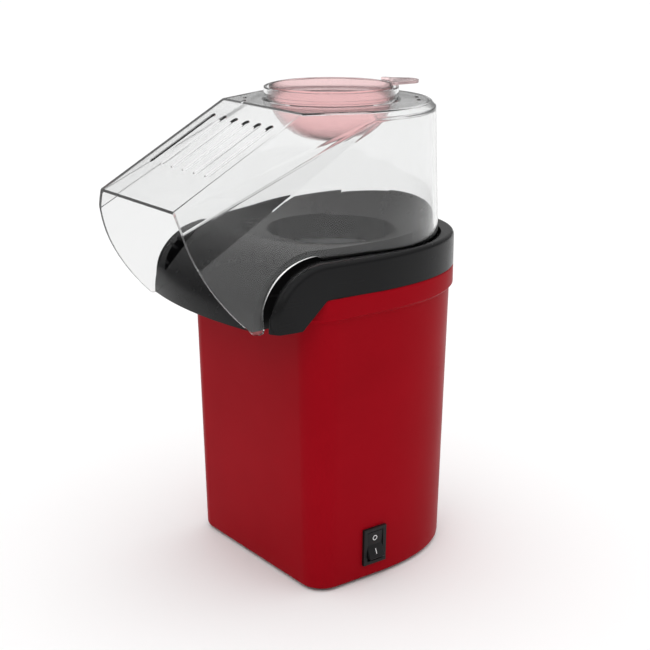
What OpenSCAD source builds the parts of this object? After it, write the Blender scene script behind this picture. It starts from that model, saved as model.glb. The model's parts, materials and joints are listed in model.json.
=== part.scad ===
// Hot-air popcorn maker: tapered housing, black collar and chute, clear hood, measuring cup.
// The chamber axis runs straight up. -Y is the spout side and +X is the switch side.

/* [Housing] */
// Half width of the housing at its lower edge
base_half_w = 58.5; // [52:0.5:75]
// Chamber axis to the front face, at the lower edge
base_front = 53.3; // [50:0.1:70]
// Chamber axis to the rearmost point, at the lower edge
base_rear = 62.5; // [58:0.5:80]
// Radius of the two front corners
corner_r = 13; // [8:1:20]
// How square the rounded rear is, 2 for an ellipse
plan_power = 2.3; // [2:0.1:3]
// Outward lean of the walls, degrees
wall_lean = 1.25; // [0:0.05:1.6]
// Thickness of the moulded housing wall
shell_wall = 2.2; // [1.6:0.1:2.8]
// Height of the housing at its sides
housing_top = 162.7; // [155:0.1:200]
// How far the housing's front edge lies below its sides
front_drop = 13.5; // [10:0.5:16]
// How far the flared band stands proud of the wall
flare = 1.7; // [0.8:0.1:2.4]
// Height of the flared band
flare_h = 12.2; // [8:0.1:16]
// Gap between the table and the housing's lower edge
foot_gap = 1.6; // [1:0.1:4]

/* [Collar and deck] */
// Height of the black collar above the housing's sides
collar_h = 18.6; // [16:0.1:24]
// Chamber axis to the front of the collar's arms
collar_front = 79; // [74:0.5:90]
// Thickness of the collar's arms at their tips, outside to inside
arm_tip_w = 6.6; // [4:0.1:9]
// Width of the collar's rim beside the hood
collar_rim_w = 4.15; // [3:0.05:6]
// Radius of the bend where the collar turns down
collar_bend = 30.4; // [26:0.2:33]
// Thickness of the collar's walls
collar_wall = 2.2; // [1.6:0.1:2.6]
// How much narrower the chute is than the deck, each side
chute_inset = 7.9; // [6:0.1:12]
// Chamber axis to the middle of the chute's lip
lip_front = 89; // [86:0.5:100]
// How far the lip bows out between its corners
lip_bow = 5; // [2:0.5:8]
// Radius of the chute's rounded nose
nose_r = 34.5; // [30:0.5:36]
// Height of the deck's rim above the collar, at the chute
rim_rise = 3.9; // [3:0.1:6]
// How much higher the rim is at the back than at the chute
rim_lift = 9.5; // [0:0.5:12]
// Radius of the opening into the chamber
mouth_r = 35.2; // [28:0.1:38]
// Thickness of the deck
deck_wall = 2.4; // [1.8:0.1:3]

/* [Hood] */
// Height of the hood's flat top above the collar
hood_h = 70.7; // [60:0.1:90]
// How much the back of the hood closes in towards its top
hood_draft = 3.2; // [1:0.1:6]
// Half width of the roof's front edge
roof_half_w = 36.7; // [32:0.1:42]
// Chamber axis to the roof's front edge
roof_front = 119.3; // [110:0.1:130]
// How far the roof's front edge lies below the flat top
roof_drop = 40; // [34:0.5:50]
// Chamber axis to the ridge where the roof starts to slope
ridge_front = 44.8; // [41:0.1:50]
// Thickness of the clear moulding
hood_wall = 1.8; // [1.4:0.01:2.2]
// Number of vent slots in the roof
slots = 6; // [3:1:7]
// Length of each vent slot along the roof
slot_len = 45; // [30:1:55]
// Width of each vent slot
slot_w = 4; // [3:0.5:5]

/* [Measuring cup] */
// Outer radius of the cup seat on the hood
seat_r = 35.9; // [29:0.1:38]
// Height of the cup seat above the flat top
seat_h = 6.9; // [5:0.1:10]
// Depth of the cup below its rim
cup_depth = 29; // [24:1:38]
// Radius of the cup's flat bottom
cup_bottom_r = 12; // [10:1:20]
// Thickness of the cup's wall
cup_wall = 1.6; // [1.2:0.1:2]
// Chamber axis to the tip of the cup's finger tab
tab_reach = 47.5; // [42:0.5:54]
// Direction of the finger tab, degrees from the switch side
tab_angle = 64; // [0:1:90]

/* [Chamber and heater] */
// Depth of the popping chamber
chamber_depth = 60; // [45:1:64]
// Thickness of the sheet metal
sheet = 1; // [0.6:0.1:1.2]
// Number of air slots around the chamber
air_slots = 16; // [8:2:20]
// Height of the heater's mica boards
mica_h = 16; // [12:1:18]

/* [Motor and fan] */
// Diameter of the motor's can
motor_d = 27.7; // [24:0.1:30]
// Length of the motor's can
motor_len = 38; // [30:1:40]
// Diameter of the motor's shaft
shaft_d = 2.3; // [2:0.1:3.2]
// Number of fan blades
blades = 9; // [6:1:11]

/* [Switch] */
// Height of the switch's bezel
bezel_h = 21; // [20:0.5:22]
// Width of the switch's bezel
bezel_w = 15; // [14:0.5:16]
// How far the bezel stands off the wall
bezel_t = 1.8; // [1.2:0.1:2.4]
// Height of the switch's middle above the table
switch_z = 20; // [18:1:40]
// How far the switch sits in front of the chamber axis
switch_y = 15.7; // [5:0.1:24]
// Angle between the switch's two settings, degrees
rocker_swing = 20; // [14:1:22]

/* [Fits] */
// Gap between the hood's sides and the collar's arms
arm_gap = 3.7; // [2:0.1:5]
// Gap between the fan's blades and its duct
fan_gap = 3; // [2:0.5:5]
// Gap between moulded pieces that lift apart
lift_gap = 0.4; // [0.3:0.05:0.6]
// Gap between pieces that are screwed or clipped together
snug_gap = 0.2; // [0.1:0.05:0.3]
// Radial clearance of turning pins and shafts
run_gap = 0.05; // [0.02:0.01:0.08]

/* [Hidden] */
$fn = 64;
slice = 0.1;
dot = 0.2;
eps = 0.5;

red = [0.60, 0.05, 0.09];
black = [0.10, 0.10, 0.11];
rubber = [0.16, 0.16, 0.17];
steel = [0.70, 0.71, 0.73];
aluminium = [0.80, 0.81, 0.83];
mica = [0.72, 0.62, 0.42];
brass = [0.80, 0.66, 0.32];
clear = [0.85, 0.88, 0.90, 0.35];
pink = [0.93, 0.58, 0.62, 0.6];

// Plan of the housing
side_end = 15;
lean = tan(wall_lean);
function grow_at(z) = z * lean;
band_z = housing_top - flare_h;
band_grow = grow_at(housing_top) + flare;
front_top = housing_top - front_drop;
step_y = base_front - 4.5;
step_run = 14.5;

// Heights of the collar, deck and hood
collar_top = housing_top + collar_h;
groove_slack = 1.8;
outer_slack = 0.9;
groove = hood_wall + 2 * lift_gap + groove_slack;
deck_r = base_half_w + band_grow - collar_rim_w - groove;
hood_r = deck_r + groove - lift_gap - outer_slack;
chute_half_w = deck_r - chute_inset;
hood_front_w = chute_half_w + lift_gap + hood_wall + 1;
arm_inner_w = hood_front_w + arm_gap;
collar_front_w = arm_inner_w + arm_tip_w;
bend_y = collar_front - collar_bend;
bend_z = collar_top - collar_bend;
floor_z = collar_top - 5.3;
floor_t = 2;
rim_z = collar_top + rim_rise;
mouth_z = collar_top + 0.6;
dish_edge_r = deck_r - 1.2;
rim_flat = 6;
nose_z = rim_z - nose_r;
bow_r = (chute_half_w * chute_half_w + lip_bow * lip_bow) / (2 * lip_bow);
bow_y = bow_r - lip_front;
throat_wall = 1.4;
plate_inset = 0.15;
nose_back = 12;
grip_tilt = 44;
grip_len = 19;
grip_w = 8.5;
grip_deep = 6;
hood_base = floor_z + 2;
hood_top = collar_top + hood_h;
tongue_y = collar_front + 0.5;

// Stack of the chamber and heater, hung under the collar's floor
gasket_t = 1;
flange_r = mouth_r + 7.8;
chamber_r = mouth_r + throat_wall + snug_gap;
chamber_top = floor_z - floor_t - gasket_t;
chamber_floor = chamber_top - chamber_depth;
shroud_r = flange_r - 0.7;
shroud_top = chamber_top - sheet;
duct_wall = 3;
duct_top = chamber_floor - 20;
duct_h = 26;
duct_z = duct_top - duct_h;
mica_z = duct_top + 1;
spider_t = 3;
duct_r = shroud_r - 1.3;
fan_r = duct_r - fan_gap;
post_r = 4;
post_xy = (duct_r + duct_wall + 0.75 * post_r) / sqrt(2);
post_hole_r = 1.25;
screw_r = 1.5;
screw_head_r = 3;

// Base
plate_z = 6;
plate_t = 2.5;
boss_x = base_half_w - 14;
boss_front = base_front - 14;
boss_rear = base_rear - 9.5;
boss_rear_x = 18;
boss_r = 4;

// Motor
motor_r = motor_d / 2;
shaft_r = shaft_d / 2;
motor_top = duct_z;
motor_z = motor_top - motor_len;
bush_r = 3;
bush_h = 3;
fan_z = duct_z + spider_t + 3;
fan_h = 12;

// Switch, on a wall that leans outwards
switch_x = base_half_w + grow_at(switch_z);
panel_h = bezel_h - 2;
panel_w = bezel_w - 2;
switch_depth = 13;
window_h = bezel_h - 3.8;
window_w = bezel_w - 4.4;
pivot_x = -2.2;
pivot_r = 1.4;
rocker_h = window_h - 1.8;
rocker_w = window_w - 2 * 0.3;

// Cup and its seat
seat_wall = 1.6;
seat_top = hood_top + seat_h;
ledge_z = hood_top + 1;
ledge_w = 0.9;
toe = 0.085;
cup_r = seat_r - seat_wall - ledge_w - lift_gap;
cup_top = seat_top + 0.7;
tab_t = 1.8;

// Cord gland, low in the middle of the rear wall
gland_z = 18;
gland_bore_r = 3.4;
gland_r = 5.2;
gland_y = base_rear + grow_at(gland_z);

// Frame: the middle of the whole object's footprint
rear_reach = base_rear + band_grow;
axis_y = (roof_front - rear_reach) / 2;

// Points of the housing's plan, grown outwards by g. The front is flat and the rear is rounded.
function plan(g) = concat(
    [for (a = [-90:18:0]) [base_half_w - corner_r + (corner_r + g) * cos(a),
        -(base_front - corner_r) + (corner_r + g) * sin(a)]],
    rear_arc(base_half_w + g, base_rear + side_end + g),
    [for (a = [180:18:270]) [-(base_half_w - corner_r) + (corner_r + g) * cos(a),
        -(base_front - corner_r) + (corner_r + g) * sin(a)]]);

// Rounded rear between the two straight sides, with half width w and length d
function rear_arc(w, d) = [for (a = [0:6:180])
    [w * sign(cos(a)) * pow(abs(cos(a)), 2 / plan_power), -side_end + d * pow(abs(sin(a)), 2 / plan_power)]];

// Plan of the collar, whose arms reach forward past the housing's front face
function collar_plan(g) = concat(
    [for (a = [-90:18:0]) [collar_front_w - 6 + (6 + g) * cos(a), -collar_front + 6 + (6 + g) * sin(a)]],
    rear_arc(base_half_w + band_grow + g, base_rear + side_end + band_grow + g),
    [for (a = [180:18:270]) [-collar_front_w + 6 + (6 + g) * cos(a), -collar_front + 6 + (6 + g) * sin(a)]]);

// Height of the deck's rim, which climbs towards the back
function rim_height(y) =
    rim_z + rim_lift * pow(max(0, y + bend_y - rim_flat) / (deck_r + bend_y - rim_flat), 2);

// Quadratic curve through the middle of three points
function bend(a, b, c, t) = (1 - t) * (1 - t) * a + 2 * t * (1 - t) * b + t * t * c;

// Moves a node from the chamber axis to the object's own frame
module placed() {
    translate([0, axis_y, 0]) children();
}

// One thin level of the housing's plan
module level(z, g) {
    translate([0, 0, z]) linear_extrude(slice) polygon(plan(g));
}

// Extrudes a side view, given as Y and Z, across the width w
module across(w) {
    translate([-w / 2, 0, 0]) rotate([90, 0, 90]) linear_extrude(w) children();
}

module ring(r_out, r_in, h) {
    difference() {
        cylinder(r = r_out, h = h);
        translate([0, 0, -eps]) cylinder(r = r_in, h = h + 2 * eps);
    }
}

// A pan-head screw whose head is down and whose tip points up
module screw(len, r = screw_r, head = screw_head_r, head_h = 1.8) {
    cylinder(r = r, h = len);
    difference() {
        translate([0, 0, -head_h]) cylinder(r = head, h = head_h);
        for (a = [0, 90]) translate([0, 0, -head_h]) rotate([0, 0, a])
            cube([head * 1.2, 0.7, 1.6], center = true);
    }
}

// Everything above the housing's top edge, which steps down at the front
module above_edge(gap = 0) {
    across(300) polygon([[base_rear + 40, housing_top + gap], [-step_y, housing_top + gap],
        [-step_y - step_run, front_top + gap], [-roof_front - 20, front_top + gap],
        [-roof_front - 20, 400], [base_rear + 40, 400]]);
}

module boss_spots() {
    for (s = [-1, 1]) {
        translate([s * boss_x, -boss_front, 0]) children();
        translate([s * boss_rear_x, boss_rear, 0]) children();
    }
}

module post_spots() {
    for (a = [45:90:315]) rotate([0, 0, a]) translate([post_xy * sqrt(2), 0, 0]) rotate([0, 0, -a]) children();
}

module outer_housing() {
    vents = 7;
    color(red) placed() difference() {
        union() {
            difference() {
                union() {
                    hull() {
                        level(foot_gap, -1.6);
                        level(foot_gap + 2, grow_at(foot_gap + 2));
                        level(housing_top - slice, grow_at(housing_top));
                    }
                    hull() {
                        level(band_z, grow_at(band_z) + 0.1);
                        level(band_z + 1.6, band_grow);
                        level(housing_top - slice, band_grow);
                    }
                }
                hull() {
                    level(foot_gap - 1, grow_at(0) - shell_wall);
                    level(housing_top + 1, grow_at(housing_top) - shell_wall);
                }
            }
            // Bosses for the base screws, tied to the wall by ribs
            boss_spots() translate([0, 0, plate_z + plate_t]) cylinder(r = boss_r, h = 16);
            for (s = [-1, 1]) {
                translate([s * (boss_x + base_half_w - 1) / 2, -boss_front, plate_z + plate_t + 8])
                    cube([base_half_w - 1 - boss_x, 2, 16], center = true);
                translate([s * boss_rear_x, (boss_rear + base_rear - 3.5) / 2, plate_z + plate_t + 8])
                    cube([2, base_rear - 3.5 - boss_rear, 16], center = true);
            }
        }
        above_edge();
        boss_spots() translate([0, 0, plate_z]) cylinder(r = post_hole_r, h = 15);
        switch_frame() translate([-2, 0, 0]) cube([20, panel_w + snug_gap, panel_h + snug_gap], center = true);
        translate([0, gland_y - 10, gland_z]) rotate([-90, 0, 0]) cylinder(r = gland_r + snug_gap, h = 20);
        // Air inlet slots in the rear wall
        for (i = [0:vents - 1]) translate([0, base_rear, 34 + i * 7]) cube([44, 30, 3], center = true);
    }
}

module base_plate() {
    ribs = 9;
    color(black) placed() difference() {
        union() {
            translate([0, 0, plate_z]) linear_extrude(plate_t)
                polygon(plan(grow_at(plate_z) - shell_wall - snug_gap));
            post_spots() translate([0, 0, plate_z]) cylinder(r = post_r, h = duct_z - plate_z);
        }
        for (i = [-(ribs - 1) / 2:(ribs - 1) / 2])
            translate([i * 6, 0, plate_z]) cube([3, 42, 4 * plate_t], center = true);
        boss_spots() translate([0, 0, plate_z - eps]) cylinder(r = screw_r + snug_gap, h = plate_t + 2 * eps);
        foot_spots() translate([0, 0, plate_z - eps]) cylinder(r = 2.2, h = plate_t + 2 * eps);
        post_spots() translate([0, 0, duct_z - 14]) cylinder(r = post_hole_r, h = 15);
    }
}

module foot_spots() {
    for (s = [-1, 1]) {
        translate([s * (base_half_w - 16), -(base_front - 27), 0]) children();
        translate([s * 0.487 * base_half_w, base_rear - 20, 0]) children();
    }
}

module rubber_feet() {
    color(rubber) placed() foot_spots() {
        cylinder(r1 = 6, r2 = 6.8, h = plate_z);
        translate([0, 0, plate_z]) cylinder(r = 2.2, h = plate_t);
        translate([0, 0, plate_z + plate_t]) cylinder(r = 3.2, h = 1.5);
    }
}

module base_screws() {
    color(steel) placed() boss_spots() translate([0, 0, plate_z]) screw(12, post_hole_r);
}

// Side view of the collar: level top, bent down at the front by a radius r, inset by g
module collar_side(g) {
    r = collar_bend - g;
    polygon(concat([[base_rear + 20, front_top - 1], [base_rear + 20, collar_top - g]],
        [for (a = [90:6:180]) [-bend_y + r * cos(a), bend_z + r * sin(a)]],
        [[-collar_front + g, front_top - 1]]));
}

// Plan of the deck: round at the back, straight sides to half width w at the chute
module deck_plan(g, w) {
    hull() {
        circle(r = deck_r + g, $fn = 96);
        translate([-w, -bend_y]) square([2 * w, 1]);
    }
}

module top_collar() {
    inner_grow = grow_at(housing_top) - shell_wall - snug_gap - band_grow;
    color(black) placed() difference() {
        union() {
            intersection() {
                translate([0, 0, front_top]) linear_extrude(collar_top - front_top + 1) polygon(collar_plan(0));
                across(200) collar_side(0);
                above_edge();
            }
            // Lip that drops inside the housing
            difference() {
                translate([0, 0, housing_top - 4]) linear_extrude(5) polygon(collar_plan(inner_grow));
                translate([0, -150 - step_y + 6, housing_top]) cube([300, 300, 20], center = true);
            }
        }
        // Hollow below the floor, kept out of the arms' inner walls
        difference() {
            intersection() {
                translate([0, 0, front_top - 1]) linear_extrude(floor_z - floor_t - front_top + 1)
                    polygon(collar_plan(inner_grow - collar_wall + 0.6));
                across(200) collar_side(collar_wall);
            }
            translate([0, -150 - bend_y + 1, 0])
                cube([2 * (arm_inner_w + collar_wall), 300, 2 * collar_top], center = true);
            translate([0, -150 - step_y - step_run, 0])
                cube([300, 300, 2 * (front_top + collar_wall)], center = true);
        }
        translate([0, 0, floor_z]) linear_extrude(30) deck_plan(groove, arm_inner_w);
        translate([0, 0, floor_z - 10]) cylinder(r = mouth_r + throat_wall + 1.9, h = 20);
        translate([0, -150 - bend_y, 0]) cube([2 * arm_inner_w, 300, 3 * collar_top], center = true);
        deck_screw_spots() translate([0, 0, floor_z - 10]) cylinder(r = screw_r + snug_gap, h = 20);
    }
}

module deck_screw_spots() {
    for (a = [35, 145, 215, 325]) rotate([0, 0, a]) translate([(flange_r + deck_r - 1) / 2, 0, 0]) children();
}

// Solid of the chute's nose, bowed in plan, inset by g, with half width w
module nose(g, w) {
    intersection() {
        translate([0, bow_y, 0]) rotate([0, 0, -110]) rotate_extrude(angle = 40, $fn = 360)
            translate([bow_r - nose_r, front_top + g]) {
                intersection() {
                    translate([0, nose_z - front_top - g]) circle(r = nose_r - g, $fn = 128);
                    translate([0, nose_z - front_top - g]) square(nose_r);
                }
                square([nose_r - g, nose_z - front_top - g]);
                translate([-nose_back - g, 0]) square([nose_back + g, rim_z - front_top - 2 * g]);
            }
        translate([0, -100, 200]) cube([2 * w, 200, 400], center = true);
        above_edge(g + snug_gap);
    }
}

// Hollow above the deck: a dish that falls from the rim to just inside the mouth
module dish() {
    n = 48;
    levels = [for (i = [0:n - 1]) let (a = i * 360 / n, c = cos(a), s = sin(a)) [
        [(mouth_r - 0.5) * c, (mouth_r - 0.5) * s, mouth_z - 0.1],
        [dish_edge_r * c, dish_edge_r * s, rim_height(dish_edge_r * s)],
        [dish_edge_r * c, dish_edge_r * s, rim_z + rim_lift + 10]]];
    polyhedron(
        points = [for (k = [0:2]) for (p = levels) p[k]],
        faces = concat([[for (i = [0:n - 1]) i]], [[for (i = [n - 1:-1:0]) 2 * n + i]],
            [for (k = [0:1]) for (i = [0:n - 1]) let (j = (i + 1) % n)
                [k * n + i, (k + 1) * n + i, (k + 1) * n + j]],
            [for (k = [0:1]) for (i = [0:n - 1]) let (j = (i + 1) % n)
                [k * n + i, (k + 1) * n + j, k * n + j]]));
}

module chute_deck() {
    color(black) placed() difference() {
        union() {
            difference() {
                intersection() {
                    translate([0, 0, floor_z]) linear_extrude(40) deck_plan(0, chute_half_w - plate_inset);
                    across(200) polygon(concat([[-bend_y, floor_z]],
                        [for (y = [-bend_y:rim_flat:deck_r + rim_flat]) [y, rim_height(y)]],
                        [[deck_r + rim_flat, floor_z]]));
                }
                // Hollow under the dish
                translate([0, 0, floor_z - 1]) cylinder(r1 = dish_edge_r - 1.5, r2 = flange_r + 1,
                    h = mouth_z - floor_z - deck_wall + 3);
            }
            difference() {
                nose(0, chute_half_w);
                difference() {
                    nose(deck_wall, chute_half_w - deck_wall);
                    grip_form(0);
                }
                translate([0, 150 - bend_y + rim_flat / 2, 200]) cube([300, 300, 400], center = true);
                translate([0, 150 - bend_y - snug_gap, floor_z - 150]) cube([300, 300, 300], center = true);
            }
            translate([0, 0, floor_z - 8]) cylinder(r = mouth_r + throat_wall, h = 9 + mouth_z - floor_z);
            deck_screw_spots() translate([0, 0, floor_z]) cylinder(r = 3.2, h = mouth_z - floor_z + 0.5);
        }
        dish();
        translate([0, 0, floor_z - 10]) cylinder(r = mouth_r, h = 30);
        deck_screw_spots() translate([0, 0, floor_z - 1]) cylinder(r = post_hole_r, h = mouth_z - floor_z);
        grip_form(deck_wall);
    }
}

// Pointed oval grip recess in the nose, on the side away from the switch; g makes it smaller and less deep
module grip_form(g) {
    arc_r = (grip_len * grip_len + grip_w * grip_w) / (2 * grip_w);
    translate([-chute_half_w + 11, -bend_y - 2, nose_z]) rotate([grip_tilt, 0, 0])
        translate([0, 0, nose_r - grip_deep - deck_wall + g]) linear_extrude(grip_deep + deck_wall + 5)
            intersection_for(s = [-1, 1]) translate([s * (arc_r - grip_w), 0]) circle(r = arc_r - g, $fn = 128);
}

module deck_screws() {
    color(steel) placed() deck_screw_spots() translate([0, 0, floor_z - floor_t]) screw(6.5, post_hole_r);
}

module popping_chamber() {
    slot_h = 12;
    color(aluminium) placed() {
        difference() {
            translate([0, 0, chamber_floor]) cylinder(r = chamber_r + sheet, h = chamber_depth, $fn = 96);
            translate([0, 0, chamber_floor + sheet]) cylinder(r = chamber_r, h = chamber_depth, $fn = 96);
            for (i = [0:air_slots - 1]) rotate([0, 0, i * 360 / air_slots])
                translate([chamber_r, 0, chamber_floor + 4 + slot_h / 2]) rotate([25, 0, 0])
                    cube([8, 2.4, slot_h], center = true);
        }
        translate([0, 0, chamber_top - sheet]) ring(flange_r, chamber_r, sheet);
    }
}

module chamber_gasket() {
    color(rubber) placed() translate([0, 0, chamber_top]) ring(flange_r, mouth_r + throat_wall + 1.9, gasket_t);
}

module heater_shroud() {
    tube_h = shroud_top - duct_top + 4;
    color(steel) placed() difference() {
        union() {
            translate([0, 0, duct_top - 4]) ring(shroud_r, shroud_r - sheet, tube_h);
            translate([0, 0, shroud_top - sheet]) ring(flange_r + 2, shroud_r - sheet, sheet);
        }
        // Hole for the thermostat's sensing face
        translate([0, 30, mica_z + 40]) rotate([-90, 0, 0]) cylinder(r = 6, h = 30);
    }
}

module heater_boards() {
    half = duct_r - 1.5;
    color(mica) placed() translate([0, 0, mica_z]) difference() {
        for (a = [0, 90]) rotate([0, 0, a]) translate([-half, -0.5, 0]) cube([2 * half, 1, mica_h]);
        for (r = [14, 24, 33]) translate([0, 0, mica_h / 2]) rotate_extrude() translate([r, 0]) circle(r = 2.2);
    }
}

module heating_coils() {
    color(steel) placed() for (r = [14, 24, 33])
        translate([0, 0, mica_z + mica_h / 2]) rotate_extrude() translate([r, 0]) circle(r = 1.7);
}

module thermostat() {
    color(black) placed() translate([0, shroud_r + 0.2, mica_z + 40]) rotate([-90, 0, 0]) {
        cylinder(r = 8, h = 5);
        translate([0, 0, 5]) cylinder(r = 6, h = 4);
        translate([-12, -5, 0]) cube([24, 10, 0.8]);
        for (s = [-1, 1]) translate([s * 3, 0, 9]) translate([-0.4, -2.4, -eps]) cube([0.8, 4.8, 7]);
    }
}

module thermal_fuse() {
    color(aluminium) placed() rotate([0, 0, 135]) translate([shroud_r + 2.3, 0, mica_z + 34]) {
        cylinder(r = 2, h = 12);
        translate([0, 0, -8]) cylinder(r = 0.5, h = 28);
    }
}

module fan_duct() {
    color(black) placed() difference() {
        union() {
            translate([0, 0, duct_z]) ring(duct_r + duct_wall, duct_r, duct_h);
            translate([0, 0, duct_z]) cylinder(r = motor_r + 2, h = spider_t);
            for (a = [90:120:330]) rotate([0, 0, a]) translate([0, -3, duct_z]) cube([duct_r + 1, 6, spider_t]);
            post_spots() translate([0, 0, duct_z]) cylinder(r = post_r + 1.5, h = spider_t);
        }
        translate([0, 0, duct_z + spider_t]) cylinder(r = duct_r, h = duct_h);
        // Seat for the heater shroud
        translate([0, 0, duct_top - 4]) cylinder(r = shroud_r + snug_gap / 2, h = 5);
        translate([0, 0, duct_z - eps]) cylinder(r = bush_r + 1, h = spider_t + 2 * eps);
        motor_screw_spots() translate([0, 0, duct_z - eps]) cylinder(r = 1.4, h = spider_t + 2 * eps);
        post_spots() translate([0, 0, duct_z - eps]) cylinder(r = screw_r + snug_gap, h = spider_t + 2 * eps);
    }
}

module duct_screws() {
    color(steel) placed() post_spots() translate([0, 0, duct_z + spider_t]) mirror([0, 0, 1])
        screw(13, post_hole_r, 2.6);
}

module motor_screw_spots() {
    for (s = [-1, 1]) translate([s * 8, 0, 0]) children();
}

module motor_can() {
    color(steel) placed() difference() {
        union() {
            translate([0, 0, motor_z + 2]) cylinder(r = motor_r, h = motor_len - 2);
            translate([0, 0, motor_top]) cylinder(r = bush_r + 0.9, h = 1.5);
        }
        translate([0, 0, motor_z]) cylinder(r = motor_r - sheet, h = motor_len - 1.5);
        translate([0, 0, motor_top - bush_h + 1]) cylinder(r = bush_r, h = 10);
        motor_screw_spots() translate([0, 0, motor_top - 2]) cylinder(r = 1.2, h = 3);
    }
}

module motor_end_cap() {
    color(black) placed() difference() {
        union() {
            translate([0, 0, motor_z]) cylinder(r = motor_r, h = 2);
            translate([0, 0, motor_z + 2]) cylinder(r = motor_r - sheet - snug_gap, h = 3);
            translate([0, 0, motor_z - 2]) cylinder(r = bush_r + 2, h = 2);
        }
        translate([0, 0, motor_z - 1]) cylinder(r = bush_r, h = 20);
        translate([0, 0, motor_z - 3]) cylinder(r = shaft_r + 0.5, h = 4);
    }
}

module motor_bearings() {
    color(brass) placed() {
        translate([0, 0, motor_top - bush_h + 1]) ring(bush_r, shaft_r + run_gap, bush_h);
        translate([0, 0, motor_z - 1]) ring(bush_r, shaft_r + run_gap, bush_h);
    }
}

module motor_screws() {
    color(steel) placed() motor_screw_spots() translate([0, 0, duct_z + spider_t]) mirror([0, 0, 1])
        screw(4.5, 1.2, 2.2, 1.4);
}

module motor_shaft() {
    color(steel) placed() {
        translate([0, 0, motor_z - 0.6]) cylinder(r = shaft_r, h = fan_z + fan_h - motor_z);
        // Rotor inside the can
        translate([0, 0, motor_z + 8]) ring(motor_r - 4, shaft_r, motor_len - 14);
    }
}

module fan_impeller() {
    color(black) placed() translate([0, 0, fan_z]) {
        ring(7, shaft_r, fan_h - 1);
        difference() {
            intersection() {
                for (i = [0:blades - 1]) rotate([0, 0, i * 360 / blades])
                    translate([fan_r / 2 + 3, 0, fan_h / 2])
                    rotate([34, 0, 0]) cube([fan_r, 1.6, 2 * fan_h], center = true);
                cylinder(r = fan_r, h = fan_h - 1);
            }
            translate([0, 0, -eps]) cylinder(r = 6, h = fan_h + 2 * eps);
        }
    }
}

module rectifier_board() {
    board_z = motor_z - 6;
    color([0.10, 0.35, 0.18]) placed() translate([-13, -11, board_z]) cube([26, 22, 1.6]);
    color(black) placed() for (x = [-9:6:9]) translate([x, -4, board_z - 1.5]) rotate([-90, 0, 0])
        cylinder(r = 1.5, h = 8);
}

// Frame of the switch: +X out of the wall, Z up
module switch_frame() {
    translate([switch_x, -switch_y, switch_z]) rotate([0, wall_lean, 0]) children();
}

module switch_body() {
    color(black) placed() switch_frame() difference() {
        union() {
            translate([bezel_t / 2, 0, 0]) cube([bezel_t, bezel_w, bezel_h], center = true);
            translate([-switch_depth / 2, 0, 0]) cube([switch_depth, panel_w, panel_h], center = true);
        }
        translate([bezel_t - 4.5, 0, 0]) cube([9.2, window_w, window_h], center = true);
        translate([pivot_x, 0, 0]) rotate([90, 0, 0])
            cylinder(r = pivot_r + run_gap, h = window_w + 2, center = true, $fn = 48);
    }
}

module switch_terminals() {
    color(brass) placed() switch_frame() for (z = [-5.5, 0, 5.5])
        translate([-switch_depth - 3.5, 0, z]) cube([7, 4.8, 0.8], center = true);
}

// The rocker at rest: the lower half stands out and the upper half is pressed in
module switch_rocker() {
    half = rocker_h / 2;
    color(rubber) placed() switch_frame() translate([pivot_x, 0, 0]) rotate([0, -rocker_swing / 2, 0]) {
        rotate([90, 0, 0]) linear_extrude(rocker_w, center = true)
            polygon([[3.4, 0], [5.2, half - 0.4], [4.6, half], [1, half - 1], [-2, 2.6],
                [-2, -2.6], [1, -half + 1], [4.6, -half], [5.2, -half + 0.4]]);
        rotate([90, 0, 0]) cylinder(r = pivot_r, h = window_w + 1.6, center = true, $fn = 48);
    }
}

module cord_gland() {
    color(rubber) placed() translate([0, gland_y, gland_z]) rotate([-90, 0, 0]) difference() {
        union() {
            translate([0, 0, -9]) cylinder(r = gland_r, h = 9.5);
            translate([0, 0, 0.3]) cylinder(r1 = 7.2, r2 = 5.6, h = 2.6);
        }
        translate([0, 0, -12]) cylinder(r = gland_bore_r, h = 20);
    }
}

module gland_nut() {
    color(black) placed() translate([0, gland_y - 8, gland_z]) rotate([-90, 0, 0]) difference() {
        cylinder(r = 7.5, h = 4, $fn = 6);
        translate([0, 0, -1]) cylinder(r = gland_r, h = 6);
    }
}

module wire(points, r = 1) {
    for (i = [0:len(points) - 2]) hull() {
        translate(points[i]) sphere(r = r, $fn = 10);
        translate(points[i + 1]) sphere(r = r, $fn = 10);
    }
}

module lead_wires() {
    tx = switch_x - switch_depth - 8.6;
    color([0.85, 0.85, 0.82]) placed() {
        wire([[tx, -switch_y, switch_z + 5.5], [tx - 4, -switch_y - 8, switch_z + 10],
            [post_xy - 10.5, 4.5 - post_xy, duct_z - 6]]);
        wire([[tx, -switch_y, switch_z - 5.5], [30, 10, switch_z - 6], [0, gland_y - 12, gland_z]]);
    }
}

// Pair of points of the hood's form, mirrored left and right
module pair(x, y, z) {
    for (s = [-1, 1]) translate([s * x, y, z]) cube(dot, center = true);
}

// Thin level of the hood's round back
module round_back(r, z) {
    translate([0, 0, z]) linear_extrude(dot) intersection() {
        circle(r = r, $fn = 96);
        translate([-100, -12]) square(200);
    }
}

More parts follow.
